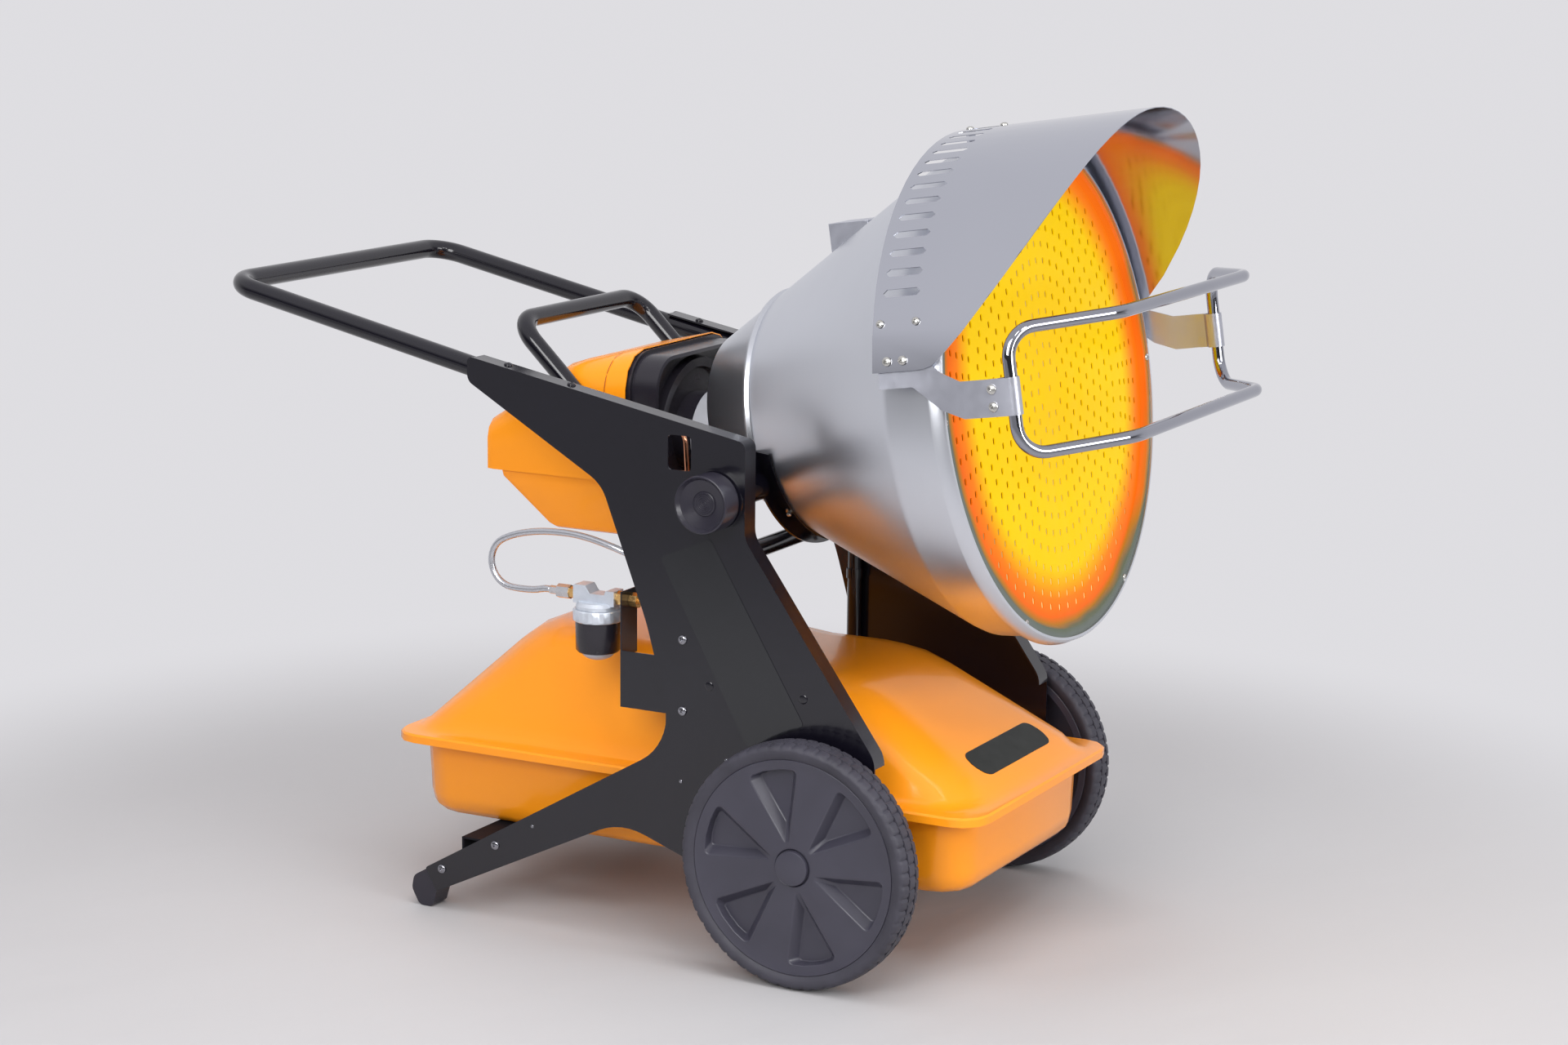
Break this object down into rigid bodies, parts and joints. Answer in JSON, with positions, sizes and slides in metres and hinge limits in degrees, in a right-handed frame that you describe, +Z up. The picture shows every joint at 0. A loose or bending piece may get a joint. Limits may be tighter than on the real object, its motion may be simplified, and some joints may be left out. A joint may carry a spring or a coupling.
{
  "type": "portable infrared oil heater",
  "caption": "Wheeled infrared oil heater: conical drum with a radiant disc, hood and guard, a tilting burner head, side plates, push handle, fuel tank, filter and hose.",
  "frame": {"origin": "centre of the bounding box on the floor that the wheels and feet stand on", "axes": "+Z up, -Y the way the radiant disc looks, +Y towards the push handle, +X to the far side plate (the near plate, with the fuel filter behind it, is at -X)"},
  "size_m": [0.6822, 1.3315, 1.1055],
  "materials": {
    "black_paint": "gloss black powder coat",
    "orange_paint": "gloss orange powder coat",
    "satin_steel": "satin stainless steel",
    "hood_steel": "bright rolled stainless steel",
    "chrome": "chromed or polished tube",
    "radiant_disc": "glowing radiant disc, yellow to orange",
    "tyre_rubber": "matt dark rubber",
    "wheel_plastic": "moulded dark plastic",
    "knob_plastic": "moulded black plastic",
    "burner_black": "satin black",
    "die_cast": "die-cast light metal",
    "brass": "turned brass",
    "copper": "copper pipe",
    "steel_braid": "braided steel",
    "clear_bowl": "pale translucent plastic"
  },
  "bodies": {
    "frame": {"side_plate_near": "black_paint", "side_plate_far": "black_paint", "push_handle": "black_paint", "cross_stay": "black_paint", "rear_cross_member": "black_paint", "front_cross_member": "black_paint", "cable_conduit": "black_paint", "stub_axle_near": "satin_steel", "stub_axle_far": "satin_steel", "pivot_washer_near": "black_paint", "pivot_washer_far": "black_paint", "foot_near": "tyre_rubber", "foot_far": "tyre_rubber", "tank_upper": "orange_paint", "tank_lower": "orange_paint", "fuel_cap": "knob_plastic", "filter_bracket": "black_paint", "filter_head": "die_cast", "filter_ring_nut": "die_cast", "filter_bowl": "burner_black", "filter_dome": "clear_bowl", "hose_fitting": "brass", "inlet_fitting": "brass", "tank_valve_pipe": "black_paint", "fuel_hose": "steel_braid"},
    "head": {"drum_shell": "satin_steel", "radiant_disc": "radiant_disc", "combustion_chamber": "satin_steel", "hood": "hood_steel", "guard_loop": "chrome", "guard_bracket_near": "hood_steel", "guard_bracket_far": "hood_steel", "cone_box_bracket": "hood_steel", "cradle": "black_paint", "burner_flange": "chrome", "blast_tube": "burner_black", "blast_collar": "burner_black", "fan_housing": "burner_black", "burner_cover": "orange_paint", "burner_tray": "orange_paint", "tilt_handle": "black_paint", "burner_chassis": "satin_steel", "fan_motor": "burner_black", "fuel_pump": "die_cast", "ignition_transformer": "burner_black", "control_panel": "burner_black", "cable_gland": "burner_black", "hose_block": "brass", "copper_pipe": "copper"},
    "wheel_near": {"wheel_rim_near": "wheel_plastic", "tyre_near": "tyre_rubber", "hub_cap_near": "wheel_plastic"},
    "wheel_far": {"wheel_rim_far": "wheel_plastic", "tyre_far": "tyre_rubber", "hub_cap_far": "wheel_plastic"},
    "knob_near": {"clamp_knob_near": "knob_plastic"},
    "knob_far": {"clamp_knob_far": "knob_plastic"},
    "fan": {"fan_wheel": "satin_steel"},
    "switch": {"power_switch": "knob_plastic"},
    "dial": {"thermostat_dial": "knob_plastic"}
  },
  "joints": [
    {"name": "head_tilt", "type": "hinge", "parent": "frame", "child": "head", "pos_m": [0, -0.11578, 0.607], "axis": [1, 0, 0], "range_deg": [-11, 19], "deforming": ["fuel_hose"]},
    {"name": "wheel_spin_near", "type": "hinge", "parent": "frame", "child": "wheel_near", "pos_m": [-0.305, -0.25878, 0.16], "axis": [1, 0, 0], "continuous": true},
    {"name": "wheel_spin_far", "type": "hinge", "parent": "frame", "child": "wheel_far", "pos_m": [0.305, -0.25878, 0.16], "axis": [1, 0, 0], "continuous": true},
    {"name": "knob_turn_near", "type": "hinge", "parent": "head", "child": "knob_near", "pos_m": [-0.29, -0.11578, 0.607], "axis": [-1, 0, 0], "range_deg": [0, 270]},
    {"name": "knob_turn_far", "type": "hinge", "parent": "head", "child": "knob_far", "pos_m": [0.29, -0.11578, 0.607], "axis": [1, 0, 0], "range_deg": [0, 270]},
    {"name": "fan_spin", "type": "hinge", "parent": "head", "child": "fan", "pos_m": [0.05, 0.17322, 0.618], "axis": [1, 0, 0], "continuous": true},
    {"name": "switch_rock", "type": "hinge", "parent": "head", "child": "switch", "pos_m": [-0.028, 0.31582, 0.62], "axis": [1, 0, 0], "range_deg": [0, 16]},
    {"name": "dial_turn", "type": "hinge", "parent": "head", "child": "dial", "pos_m": [0.024, 0.31852, 0.62], "axis": [0, 1, 0], "range_deg": [0, 270]}
  ]
}
